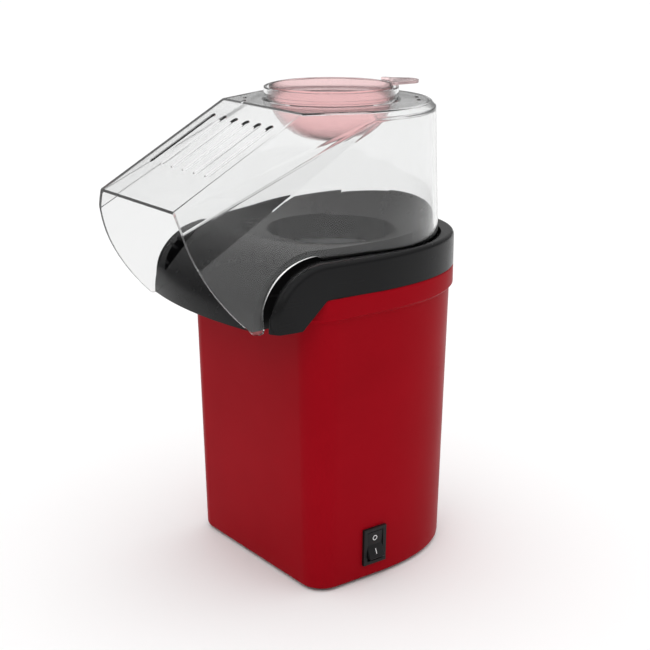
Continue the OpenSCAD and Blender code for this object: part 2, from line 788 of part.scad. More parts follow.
// Form of the hood, inset by g. It runs on past the open front and bottom.
module hood_form(g, past) {
    top_z = hood_top - g - dot / 2;
    roof_z = hood_top - roof_drop - 0.9 * g;
    run = past * roof_drop / (roof_front - ridge_front);
    side = -g - past * toe;
    hull() {
        round_back(hood_r - g, hood_base - past * g);
        round_back(hood_r - hood_draft * 0.8 - g, top_z - 3);
        round_back(hood_r - hood_draft - 2.2 - g, top_z - dot / 2);
        pair(roof_half_w - g, -ridge_front, top_z);
        pair(roof_half_w + side, -roof_front - past, roof_z - run);
        pair(roof_half_w + 5 + side, -roof_front + 2 - past, roof_z - 9 - run);
        pair(roof_half_w + 8.6 + side, -roof_front + 8 - past, roof_z - 28 - run);
        pair(hood_front_w + side, -tongue_y - 8 - past, front_top - 1 - past);
        pair(hood_front_w - g, -tongue_y, front_top - 1 - past);
    }
}

// Side view of the hood: sloping roof, curved open front, tongue beside the chute, level back
module hood_side() {
    roof = [-roof_front, hood_top - roof_drop];
    tip = [-tongue_y - 5.5, front_top - 0.6];
    bend_r = collar_bend + 2.2;
    polygon(concat([[base_rear, hood_base], [base_rear, hood_top + 1], [-ridge_front, hood_top + 1]],
        [roof + [0, 1]],
        [for (t = [0:0.1:1]) bend(roof, [roof[0] + 1.3, roof[1] - 32], tip, t)],
        [[-tongue_y - 2.5, front_top - 1], [-tongue_y - 0.4, front_top - 0.4], [-tongue_y, front_top + 1]],
        [for (a = [162:-9:90]) [-bend_y + bend_r * cos(a), bend_z + bend_r * sin(a)]],
        [[-bend_y + 3, collar_top], [-bend_y + 5, hood_base]]));
}

module clear_hood() {
    slope = atan(roof_drop / (roof_front - ridge_front));
    roof_len = (roof_front - ridge_front) / cos(slope);
    color(clear) placed() difference() {
        union() {
            intersection() {
                difference() {
                    hood_form(0, 4);
                    hood_form(hood_wall, 9);
                }
                across(200) hood_side();
            }
            translate([0, 0, hood_top - 1]) ring(seat_r, seat_r - seat_wall, seat_h + 1);
        }
        translate([0, 0, hood_top - 10]) cylinder(r = seat_r - seat_wall - ledge_w, h = 30, $fn = 96);
        translate([0, 0, ledge_z]) cylinder(r = seat_r - seat_wall, h = 30, $fn = 96);
        // Vent slots along the slope
        translate([0, -ridge_front, hood_top]) rotate([slope, 0, 0])
            for (i = [-(slots - 1) / 2:(slots - 1) / 2]) translate([i * 10.6, -0.42 * roof_len, 0])
                slot(slot_w, slot_len);
        // Small catches beside the cup seat
        for (a = [55, 235]) rotate([0, 0, a]) for (y = [-6, 6]) translate([46, y, hood_top]) slot(2, 5);
    }
}

module slot(w, len) {
    cube([w, len - w, 12], center = true);
    for (s = [-1, 1]) translate([0, s * (len - w) / 2, 0]) cylinder(r = w / 2, h = 12, center = true);
}

// Half section of the bowl, inset by g: flat bottom, rounded side, straight rim
function bowl(g) = let(low = cup_top - cup_depth, side = ledge_z - 3) [for (t = [0:0.1:1])
    [bend(cup_bottom_r - g / 2, cup_r - 6 - g, cup_r - g, t), bend(low + g, low + g + 3, side, t)]];

module measuring_cup() {
    low = cup_top - cup_depth;
    inner_r = cup_r - cup_wall;
    color(pink) placed() {
        difference() {
            union() {
                rotate_extrude($fn = 96) polygon(concat([[0, low]], bowl(0),
                    [[cup_r, ledge_z + 0.1], [cup_r + ledge_w, ledge_z + 0.1], [cup_r + ledge_w, ledge_z + 1.6],
                        [cup_r, ledge_z + 1.6], [cup_r, cup_top], [0, cup_top]]));
                rotate([0, 0, tab_angle]) hull() {
                    translate([inner_r - 1, 0, cup_top]) scale([0.3, 1, 1]) cylinder(r = 13, h = tab_t);
                    translate([tab_reach - 8, 0, cup_top]) cylinder(r = 8, h = tab_t);
                }
            }
            rotate_extrude($fn = 96)
                polygon(concat([[0, low + cup_wall]], bowl(cup_wall), [[inner_r, cup_top + 5], [0, cup_top + 5]]));
            // Two notches in the rim
            for (a = [tab_angle - 42, tab_angle + 138]) rotate([0, 0, a]) translate([cup_r, 0, cup_top])
                cube([8, 4, 3], center = true);
        }
    }
}

outer_housing();
base_plate();
rubber_feet();
base_screws();
top_collar();
chute_deck();
deck_screws();
popping_chamber();
chamber_gasket();
heater_shroud();
heater_boards();
heating_coils();
thermostat();
thermal_fuse();
fan_duct();
duct_screws();
motor_can();
motor_end_cap();
motor_bearings();
motor_screws();
motor_shaft();
fan_impeller();
rectifier_board();
switch_body();
switch_terminals();
switch_rocker();
cord_gland();
gland_nut();
lead_wires();
clear_hood();
measuring_cup();
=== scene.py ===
import json
import math
import bmesh
import bpy
from mathutils import Matrix, Vector


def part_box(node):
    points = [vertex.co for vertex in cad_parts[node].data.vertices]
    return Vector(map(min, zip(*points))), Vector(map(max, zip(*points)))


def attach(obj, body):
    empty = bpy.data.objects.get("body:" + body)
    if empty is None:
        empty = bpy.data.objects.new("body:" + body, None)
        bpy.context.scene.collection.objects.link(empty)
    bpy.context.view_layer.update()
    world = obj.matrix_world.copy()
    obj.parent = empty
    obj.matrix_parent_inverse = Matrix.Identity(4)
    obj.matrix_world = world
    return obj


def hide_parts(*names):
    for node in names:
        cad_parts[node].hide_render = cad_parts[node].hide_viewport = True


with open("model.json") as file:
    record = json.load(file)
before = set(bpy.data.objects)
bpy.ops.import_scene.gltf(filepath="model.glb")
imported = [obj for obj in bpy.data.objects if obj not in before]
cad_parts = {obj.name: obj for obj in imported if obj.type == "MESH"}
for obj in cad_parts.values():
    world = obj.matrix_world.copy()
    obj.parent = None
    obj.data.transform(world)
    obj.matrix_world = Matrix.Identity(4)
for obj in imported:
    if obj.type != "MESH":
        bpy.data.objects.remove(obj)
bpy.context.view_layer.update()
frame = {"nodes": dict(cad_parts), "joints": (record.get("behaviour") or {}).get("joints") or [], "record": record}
nodes = frame["nodes"]
axisY = next(j for j in frame["joints"] if j["name"] == "fan_spin")["pos_m"][1]  # chamber axis
mm = 0.001
print("frame loaded:", len(nodes), "nodes")

cameraSettings = {"place": (0.5793, -0.4108, 0.3452), "azimuth": 53.26, "elevation": 16.78, "lens": 75.32}
camData = bpy.data.cameras.new("camera")
camData.lens, camData.sensor_width = cameraSettings["lens"], 36
camData.clip_start, camData.clip_end = 0.01, 20
camera = bpy.data.objects.new("camera", camData)
azimuth, elevation = math.radians(cameraSettings["azimuth"]), math.radians(cameraSettings["elevation"])
forward = Vector((-math.sin(azimuth) * math.cos(elevation), math.cos(azimuth) * math.cos(elevation), -math.sin(elevation)))
camera.location = cameraSettings["place"]
camera.rotation_euler = forward.to_track_quat("-Z", "Y").to_euler()
bpy.context.scene.collection.objects.link(camera)
bpy.context.scene.camera = camera


def newTree(name, kind):
    tree = bpy.data.node_groups.new(name, kind)
    return tree


def addSocket(tree, name, kind, way="INPUT", value=None):
    socket = tree.interface.new_socket(name=name, in_out=way, socket_type=kind)
    if value is not None:
        socket.default_value = value
    return socket


def buildGrain():
    # moulded or cast grain: two sizes of noise, as one height
    tree = newTree("mouldedGrain", "ShaderNodeTree")
    addSocket(tree, "Size", "NodeSocketFloat", value=900.0)
    addSocket(tree, "Coarse share", "NodeSocketFloat", value=0.35)
    addSocket(tree, "Height", "NodeSocketFloat", "OUTPUT")
    addSocket(tree, "Patches", "NodeSocketFloat", "OUTPUT")
    n, l = tree.nodes, tree.links
    inp, out = n.new("NodeGroupInput"), n.new("NodeGroupOutput")
    coord = n.new("ShaderNodeTexCoord")
    fine, coarse, patch = [n.new("ShaderNodeTexNoise") for _ in range(3)]
    for tex, detail in ((fine, 2.0), (coarse, 3.0), (patch, 4.0)):
        tex.inputs["Detail"].default_value = detail
        l.new(coord.outputs["Object"], tex.inputs["Vector"])
    l.new(inp.outputs["Size"], fine.inputs["Scale"])
    smaller = n.new("ShaderNodeMath"); smaller.operation = "MULTIPLY"; smaller.inputs[1].default_value = 0.22
    l.new(inp.outputs["Size"], smaller.inputs[0])
    l.new(smaller.outputs[0], coarse.inputs["Scale"])
    patch.inputs["Scale"].default_value = 22.0
    mix = n.new("ShaderNodeMix"); mix.data_type = "FLOAT"
    l.new(inp.outputs["Coarse share"], mix.inputs[0])
    l.new(fine.outputs["Fac"], mix.inputs[2])
    l.new(coarse.outputs["Fac"], mix.inputs[3])
    l.new(mix.outputs[0], out.inputs["Height"])
    l.new(patch.outputs["Fac"], out.inputs["Patches"])
    return tree


def buildDust():
    # a little dust that settles on surfaces that face up
    tree = newTree("settledDust", "ShaderNodeTree")
    addSocket(tree, "Amount", "NodeSocketFloat", value=0.1)
    addSocket(tree, "Speck size", "NodeSocketFloat", value=700.0)
    addSocket(tree, "Mask", "NodeSocketFloat", "OUTPUT")
    n, l = tree.nodes, tree.links
    inp, out = n.new("NodeGroupInput"), n.new("NodeGroupOutput")
    coord, geo, split = n.new("ShaderNodeTexCoord"), n.new("ShaderNodeNewGeometry"), n.new("ShaderNodeSeparateXYZ")
    l.new(geo.outputs["Normal"], split.inputs[0])
    tex = n.new("ShaderNodeTexNoise"); tex.inputs["Detail"].default_value = 5.0
    l.new(coord.outputs["Object"], tex.inputs["Vector"])
    l.new(inp.outputs["Speck size"], tex.inputs["Scale"])
    ramp = n.new("ShaderNodeMapRange")
    ramp.inputs["From Min"].default_value, ramp.inputs["From Max"].default_value = 0.52, 0.75
    l.new(tex.outputs["Fac"], ramp.inputs["Value"])
    up = n.new("ShaderNodeMapRange")
    up.inputs["From Min"].default_value, up.inputs["From Max"].default_value = 0.3, 1.0
    l.new(split.outputs["Z"], up.inputs["Value"])
    a, b = n.new("ShaderNodeMath"), n.new("ShaderNodeMath")
    a.operation = b.operation = "MULTIPLY"
    l.new(ramp.outputs[0], a.inputs[0]); l.new(up.outputs[0], a.inputs[1])
    l.new(a.outputs[0], b.inputs[0]); l.new(inp.outputs["Amount"], b.inputs[1])
    l.new(b.outputs[0], out.inputs["Mask"])
    return tree


def buildWear():
    # fine handling scratches in two directions, as a mask
    tree = newTree("handlingMarks", "ShaderNodeTree")
    addSocket(tree, "Fineness", "NodeSocketFloat", value=260.0)
    addSocket(tree, "Amount", "NodeSocketFloat", value=0.2)
    addSocket(tree, "Mask", "NodeSocketFloat", "OUTPUT")
    n, l = tree.nodes, tree.links
    inp, out = n.new("NodeGroupInput"), n.new("NodeGroupOutput")
    coord = n.new("ShaderNodeTexCoord")
    last = None
    for turn in (0.6, 2.1):
        place = n.new("ShaderNodeMapping")
        place.inputs["Rotation"].default_value = (turn, turn * 0.5, turn)
        place.inputs["Scale"].default_value = (1.0, 0.05, 1.0)
        tex = n.new("ShaderNodeTexNoise"); tex.inputs["Detail"].default_value = 3.0
        ramp = n.new("ShaderNodeMapRange")
        ramp.inputs["From Min"].default_value, ramp.inputs["From Max"].default_value = 0.62, 0.72
        l.new(coord.outputs["Object"], place.inputs["Vector"])
        l.new(place.outputs[0], tex.inputs["Vector"])
        l.new(inp.outputs["Fineness"], tex.inputs["Scale"])
        l.new(tex.outputs["Fac"], ramp.inputs["Value"])
        if last is not None:
            top = n.new("ShaderNodeMath"); top.operation = "MAXIMUM"
            l.new(last, top.inputs[0]); l.new(ramp.outputs[0], top.inputs[1])
            last = top.outputs[0]
        else:
            last = ramp.outputs[0]
    much = n.new("ShaderNodeMath"); much.operation = "MULTIPLY"
    l.new(last, much.inputs[0]); l.new(inp.outputs["Amount"], much.inputs[1])
    l.new(much.outputs[0], out.inputs["Mask"])
    return tree


grainGroup, dustGroup, wearGroup = buildGrain(), buildDust(), buildWear()


def placeGroup(mat, tree, **values):
    node = mat.node_tree.nodes.new("ShaderNodeGroup")
    node.node_tree = tree
    for name, value in values.items():
        node.inputs[name.replace("_", " ")].default_value = value
    return node


def mixColour(mat, mask, a, b):
    mix = mat.node_tree.nodes.new("ShaderNodeMix")
    mix.data_type = "RGBA"
    mat.node_tree.links.new(mask, mix.inputs[0])
    for socket, value in ((mix.inputs[6], a), (mix.inputs[7], b)):
        if isinstance(value, bpy.types.NodeSocket):
            mat.node_tree.links.new(value, socket)
        else:
            socket.default_value = (*value, 1)
    return mix.outputs[2]


def spread(mat, value, low, high):
    # a value from 0 to 1 becomes one from low to high
    node = mat.node_tree.nodes.new("ShaderNodeMapRange")
    node.inputs["From Min"].default_value, node.inputs["From Max"].default_value = 0.3, 0.7
    node.inputs["To Min"].default_value, node.inputs["To Max"].default_value = low, high
    mat.node_tree.links.new(value, node.inputs["Value"])
    return node.outputs[0]


def addUp(mat, a, b, share):
    node = mat.node_tree.nodes.new("ShaderNodeMath")
    node.operation = "MULTIPLY_ADD"
    mat.node_tree.links.new(b, node.inputs[0])
    node.inputs[1].default_value = share
    mat.node_tree.links.new(a, node.inputs[2])
    return node.outputs[0]


def makeFinish(name, colour, deeper, rough, grain=900.0, grainHeight=0.000012, metal=0.0, coat=0.0, dust=0.08, marks=0.12,
               specular=0.5, brushed=False):
    mat = bpy.data.materials.new(name)
    mat.use_nodes = True
    n, l = mat.node_tree.nodes, mat.node_tree.links
    shader = n["Principled BSDF"]
    surface = placeGroup(mat, grainGroup, Size=grain, Coarse_share=0.35)
    settled = placeGroup(mat, dustGroup, Amount=dust, Speck_size=900.0)
    worn = placeGroup(mat, wearGroup, Fineness=240.0, Amount=marks)
    base = mixColour(mat, spread(mat, surface.outputs["Patches"], 0.0, 1.0), colour, deeper)
    base = mixColour(mat, settled.outputs["Mask"], base, (0.55, 0.53, 0.5))
    l.new(base, shader.inputs["Base Color"])
    roughness = spread(mat, surface.outputs["Patches"], rough * 0.9, rough * 1.12)
    roughness = addUp(mat, roughness, worn.outputs["Mask"], 0.35)
    roughness = addUp(mat, roughness, settled.outputs["Mask"], 0.6)
    l.new(roughness, shader.inputs["Roughness"])
    height = surface.outputs["Height"]
    if brushed:
        coord, place, lines = n.new("ShaderNodeTexCoord"), n.new("ShaderNodeMapping"), n.new("ShaderNodeTexNoise")
        place.inputs["Scale"].default_value = (1.0, 1.0, 30.0)
        lines.inputs["Scale"].default_value = 60.0
        l.new(coord.outputs["Object"], place.inputs["Vector"]); l.new(place.outputs[0], lines.inputs["Vector"])
        height = addUp(mat, height, lines.outputs["Fac"], 1.0)
    bump = n.new("ShaderNodeBump")
    bump.inputs["Strength"].default_value = 1.0
    bump.inputs["Distance"].default_value = grainHeight
    l.new(height, bump.inputs["Height"])
    l.new(bump.outputs[0], shader.inputs["Normal"])
    shader.inputs["Metallic"].default_value = metal
    shader.inputs["Coat Weight"].default_value = coat
    shader.inputs["Coat Roughness"].default_value = 0.06
    shader.inputs["Specular IOR Level"].default_value = specular
    return mat


def makeClear(name, colour, rough, ior, marks, grainHeight):
    # clear or tinted moulding, with faint handling marks and dust
    mat = bpy.data.materials.new(name)
    mat.use_nodes = True
    l = mat.node_tree.links
    shader = mat.node_tree.nodes["Principled BSDF"]
    surface = placeGroup(mat, grainGroup, Size=120.0, Coarse_share=0.6)
    worn = placeGroup(mat, wearGroup, Fineness=200.0, Amount=marks)
    settled = placeGroup(mat, dustGroup, Amount=0.25, Speck_size=1200.0)
    roughness = spread(mat, surface.outputs["Patches"], rough * 0.7, rough * 1.4)
    roughness = addUp(mat, roughness, worn.outputs["Mask"], 0.4)
    roughness = addUp(mat, roughness, settled.outputs["Mask"], 0.5)
    l.new(roughness, shader.inputs["Roughness"])
    tint = mixColour(mat, worn.outputs["Mask"], colour, tuple(c * 0.93 for c in colour))
    l.new(tint, shader.inputs["Base Color"])
    bump = mat.node_tree.nodes.new("ShaderNodeBump")
    bump.inputs["Distance"].default_value = grainHeight
    l.new(surface.outputs["Height"], bump.inputs["Height"])
    l.new(bump.outputs[0], shader.inputs["Normal"])
    shader.inputs["Transmission Weight"].default_value = 1.0
    shader.inputs["Specular IOR Level"].default_value = 0.18
    shader.inputs["IOR"].default_value = ior
    return mat


finishes = {
    "red_plastic": makeFinish("satinRed", (0.315, 0.0032, 0.0092), (0.285, 0.0028, 0.008), 0.34, 1500, 0.000010, dust=0.02, specular=0.02),
    "black_plastic": makeFinish("matteBlack", (0.022, 0.022, 0.024), (0.016, 0.016, 0.018), 0.55, 1300, 0.00003),
    "gloss_black": makeFinish("glossBlack", (0.010, 0.010, 0.0105), (0.008, 0.008, 0.0084), 0.24, 1400, 0.000003, dust=0.02, specular=0.12),
    "rubber": makeFinish("rubberBlack", (0.03, 0.03, 0.03), (0.02, 0.02, 0.02), 0.8, 900, 0.00004, dust=0.3),
    "screw_steel": makeFinish("screwSteel", (0.55, 0.55, 0.56), (0.45, 0.45, 0.46), 0.32, 800, 0.00001, metal=1.0),
    "aluminium": makeFinish("spunAluminium", (0.78, 0.79, 0.80), (0.68, 0.69, 0.70), 0.34, 700, 0.00002, metal=1.0, brushed=True),
    "sheet_steel": makeFinish("sheetSteel", (0.60, 0.61, 0.62), (0.50, 0.51, 0.52), 0.38, 700, 0.00002, metal=1.0, brushed=True),
    "mica": makeFinish("micaBoard", (0.45, 0.36, 0.20), (0.33, 0.26, 0.14), 0.5, 260, 0.00006),
    "heater_wire": makeFinish("heaterWire", (0.34, 0.31, 0.30), (0.24, 0.22, 0.22), 0.45, 900, 0.00002, metal=1.0),
    "brass": makeFinish("brass", (0.70, 0.55, 0.22), (0.60, 0.46, 0.18), 0.3, 900, 0.00001, metal=1.0),
    "fan_plastic": makeFinish("fanPlastic", (0.05, 0.05, 0.055), (0.04, 0.04, 0.045), 0.5, 1200, 0.00003),
    "circuit_board": makeFinish("boardGreen", (0.03, 0.16, 0.06), (0.02, 0.11, 0.04), 0.4, 500, 0.00003),
    "switch_black": makeFinish("switchBlack", (0.011, 0.011, 0.0115), (0.009, 0.009, 0.0094), 0.34, 1500, 0.000008, dust=0.03, specular=0.2),
    "wire_sleeve": makeFinish("wireSleeve", (0.7, 0.7, 0.67), (0.6, 0.6, 0.58), 0.5, 900, 0.00002),
    "clear_plastic": makeClear("clearHood", (0.90, 0.903, 0.902), 0.03, 1.46, 0.05, 0.000006),
    "pink_plastic": makeClear("pinkCup", (0.985, 0.74, 0.745), 0.18, 1.30, 0.1, 0.00004),
    "white_mark": makeFinish("whiteMark", (0.8, 0.8, 0.8), (0.72, 0.72, 0.72), 0.45, 1200, 0.00001, dust=0.0),
}
slotOf = {s["node"]: s["material_slot"] for s in frame["record"]["subparts"]}
for name, piece in nodes.items():
    piece.data.materials.clear()
    piece.data.materials.append(finishes[slotOf[name]])
print("finishes ready:", len(finishes))


def meshObject(name, verts, faces):
    mesh = bpy.data.meshes.new(name)
    mesh.from_pydata([tuple(v) for v in verts], [], faces)
    mesh.update()
    piece = bpy.data.objects.new(name, mesh)
    bpy.context.scene.collection.objects.link(piece)
    return piece


def applyModifiers(piece):
    graph = bpy.context.evaluated_depsgraph_get()
    mesh = bpy.data.meshes.new_from_object(piece.evaluated_get(graph))
    piece.modifiers.clear()
    piece.data = mesh
    return piece


def cleanMesh(piece, distance=0.00001, recalc=True):
    bm = bmesh.new()
    bm.from_mesh(piece.data)
    bmesh.ops.remove_doubles(bm, verts=bm.verts, dist=distance)
    if recalc:
        bmesh.ops.recalc_face_normals(bm, faces=bm.faces)
    bm.to_mesh(piece.data)
    bm.free()


def smoothByAngle(piece, degrees):
    piece.data.shade_smooth()
    piece.data.set_sharp_from_angle(angle=math.radians(degrees))


def finishPiece(piece, finish, body, slotName, *stoodFor, angle=32):
    smoothByAngle(piece, angle)
    piece.data.materials.clear()
    piece.data.materials.append(finishes[finish])
    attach(piece, body)
    if stoodFor:
        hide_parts(*stoodFor)
    print("piece made:", piece.name, len(piece.data.polygons), "faces")
    return piece


def copyOfNode(name, newName, bevel=0.0, bevelAngle=35, segments=3, merge=0.00002):
    # a merged copy of a frame node, with flat faces joined and its edges softly rounded
    piece = bpy.data.objects.new(newName, nodes[name].data.copy())
    bpy.context.scene.collection.objects.link(piece)
    bm = bmesh.new()
    bm.from_mesh(piece.data)
    bmesh.ops.remove_doubles(bm, verts=bm.verts, dist=merge)
    bmesh.ops.dissolve_limit(bm, angle_limit=math.radians(0.6), verts=bm.verts, edges=bm.edges)
    bm.to_mesh(piece.data)
    bm.free()
    if bevel:
        rounding = piece.modifiers.new("rounding", "BEVEL")
        rounding.width, rounding.segments = bevel, segments
        rounding.limit_method, rounding.angle_limit = "ANGLE", math.radians(bevelAngle)
        rounding.use_clamp_overlap = True
        applyModifiers(piece)
    return piece


def loftRings(rings, closeRing=True, closeEnds=False):
    # verts and quads between rings that all hold the same number of points
    count = len(rings[0])
    verts = [p for ring in rings for p in ring]
    faces = []
    rows = len(rings)
    for r in range(rows if closeEnds == "loop" else rows - 1):
        a, b = r * count, ((r + 1) % rows) * count
        for i in range(count if closeRing else count - 1):
            j = (i + 1) % count
            faces.append((a + i, a + j, b + j, b + i))
    if closeEnds is True:
        faces.append(tuple(reversed(range(count))))
        faces.append(tuple((rows - 1) * count + i for i in range(count)))
    return verts, faces


def lathe(profile, steps=128, centre=(0, 0)):
    # turns a closed profile of (radius, height) points round the chamber axis
    rings = []
    for i in range(steps):
        c, s = math.cos(2 * math.pi * i / steps), math.sin(2 * math.pi * i / steps)
        rings.append([place(centre[0] + r * c, centre[1] + r * s, z) for r, z in profile])
    return loftRings(rings, True, "loop")


def place(x, y, z):
    return Vector((x * mm, y * mm + axisY, z * mm))


def alongLine(points, count):
    # evenly spaced points along a polyline
    lengths = [0.0]
    for a, b in zip(points, points[1:]):
        lengths.append(lengths[-1] + math.dist(a, b))
    made, k = [], 0
    for i in range(count):
        want = lengths[-1] * i / (count - 1)
        while k < len(points) - 2 and lengths[k + 1] < want:
            k += 1
        t = (want - lengths[k]) / max(lengths[k + 1] - lengths[k], 1e-9)
        made.append(tuple(p + (q - p) * t for p, q in zip(points[k], points[k + 1])))
    return made


def extrudeOutline(name, outline, thickness, matrix, rounding=0.0, segments=3):
    # a flat outline with thickness, rounded along its edges and put in place by a matrix, all in mm
    bm = bmesh.new()
    low = [bm.verts.new((x, y, 0)) for x, y in outline]
    face = bm.faces.new(low)
    top = bmesh.ops.extrude_face_region(bm, geom=[face])
    bmesh.ops.translate(bm, vec=(0, 0, thickness), verts=[v for v in top["geom"] if isinstance(v, bmesh.types.BMVert)])
    bmesh.ops.recalc_face_normals(bm, faces=bm.faces)
    if rounding:
        rim = [e for e in bm.edges if abs(e.verts[0].co.z - e.verts[1].co.z) < 1e-6]
        bmesh.ops.bevel(bm, geom=rim, offset=rounding, segments=segments, profile=0.5, affect="EDGES", clamp_overlap=True)
    bmesh.ops.transform(bm, matrix=matrix, verts=bm.verts)
    for v in bm.verts:
        v.co = place(*v.co)
    if matrix.determinant() < 0:
        bmesh.ops.reverse_faces(bm, faces=bm.faces)
    mesh = bpy.data.meshes.new(name)
    bm.to_mesh(mesh)
    bm.free()
    piece = bpy.data.objects.new(name, mesh)
    bpy.context.scene.collection.objects.link(piece)
    return piece


def boxPiece(name, low, high):
    x0, y0, z0 = low
    x1, y1, z1 = high
    verts = [place(x, y, z) for z in (z0, z1) for x, y in ((x0, y0), (x1, y0), (x1, y1), (x0, y1))]
    return meshObject(name, verts, [(3, 2, 1, 0), (4, 5, 6, 7), (0, 1, 5, 4), (1, 2, 6, 5), (2, 3, 7, 6), (3, 0, 4, 7)])


def combine(piece, other, way):
    # a boolean that is applied at once; the other piece is used up
    step = piece.modifiers.new(way.lower(), "BOOLEAN")
    step.operation, step.solver, step.object = way, "EXACT", other
    applyModifiers(piece)
    bpy.data.objects.remove(other)
    return piece


def buildSlotRow():
    # Geometry Nodes: a row of round-ended slot cutters
    tree = newTree("slotRow", "GeometryNodeTree")
    addSocket(tree, "Geometry", "NodeSocketGeometry")
    addSocket(tree, "Count", "NodeSocketInt", value=6)
    addSocket(tree, "Step", "NodeSocketVector", value=(0.01, 0, 0))
    addSocket(tree, "Length", "NodeSocketFloat", value=0.04)
    addSocket(tree, "Width", "NodeSocketFloat", value=0.004)
    addSocket(tree, "Depth", "NodeSocketFloat", value=0.01)
    addSocket(tree, "Material", "NodeSocketMaterial")
    addSocket(tree, "Geometry", "NodeSocketGeometry", "OUTPUT")
    n, l = tree.nodes, tree.links
    inp, out = n.new("NodeGroupInput"), n.new("NodeGroupOutput")
    outline, fillet, fill = n.new("GeometryNodeCurvePrimitiveQuadrilateral"), n.new("GeometryNodeFilletCurve"), n.new("GeometryNodeFillCurve")
    l.new(inp.outputs["Width"], outline.inputs["Width"])
    l.new(inp.outputs["Length"], outline.inputs["Height"])
    radius = n.new("ShaderNodeMath"); radius.operation = "MULTIPLY"; radius.inputs[1].default_value = 0.498
    l.new(inp.outputs["Width"], radius.inputs[0])
    fillet.mode = "POLY"
    fillet.inputs["Count"].default_value = 8
    l.new(outline.outputs[0], fillet.inputs["Curve"])
    l.new(radius.outputs[0], fillet.inputs["Radius"])
    fill.mode = "NGONS"
    l.new(fillet.outputs[0], fill.inputs[0])
    extrude, flip, both, merge = (n.new("GeometryNodeExtrudeMesh"), n.new("GeometryNodeFlipFaces"), n.new("GeometryNodeJoinGeometry"),
                                  n.new("GeometryNodeMergeByDistance"))
    l.new(fill.outputs[0], extrude.inputs["Mesh"])
    l.new(inp.outputs["Depth"], extrude.inputs["Offset Scale"])
    extrude.inputs["Individual"].default_value = False
    l.new(fill.outputs[0], flip.inputs["Mesh"])
    l.new(extrude.outputs["Mesh"], both.inputs[0])
    l.new(flip.outputs[0], both.inputs[0])
    l.new(both.outputs[0], merge.inputs["Geometry"])
    merge.inputs["Distance"].default_value = 0.00001
    line, centre, back = n.new("GeometryNodeMeshLine"), n.new("ShaderNodeVectorMath"), n.new("ShaderNodeMath")
    line.mode = "OFFSET"
    l.new(inp.outputs["Count"], line.inputs["Count"])
    l.new(inp.outputs["Step"], line.inputs["Offset"])
    back.operation = "MULTIPLY_ADD"; back.inputs[1].default_value = -0.5; back.inputs[2].default_value = 0.5
    l.new(inp.outputs["Count"], back.inputs[0])
    centre.operation = "SCALE"
    l.new(inp.outputs["Step"], centre.inputs[0])
    l.new(back.outputs[0], centre.inputs["Scale"])
    l.new(centre.outputs[0], line.inputs["Start Location"])
    spots, real, paint = n.new("GeometryNodeInstanceOnPoints"), n.new("GeometryNodeRealizeInstances"), n.new("GeometryNodeSetMaterial")
    l.new(line.outputs[0], spots.inputs["Points"])
    l.new(merge.outputs[0], spots.inputs["Instance"])
    l.new(spots.outputs[0], real.inputs[0])
    l.new(real.outputs[0], paint.inputs["Geometry"])
    l.new(inp.outputs["Material"], paint.inputs["Material"])
    l.new(paint.outputs[0], out.inputs[0])
    return tree


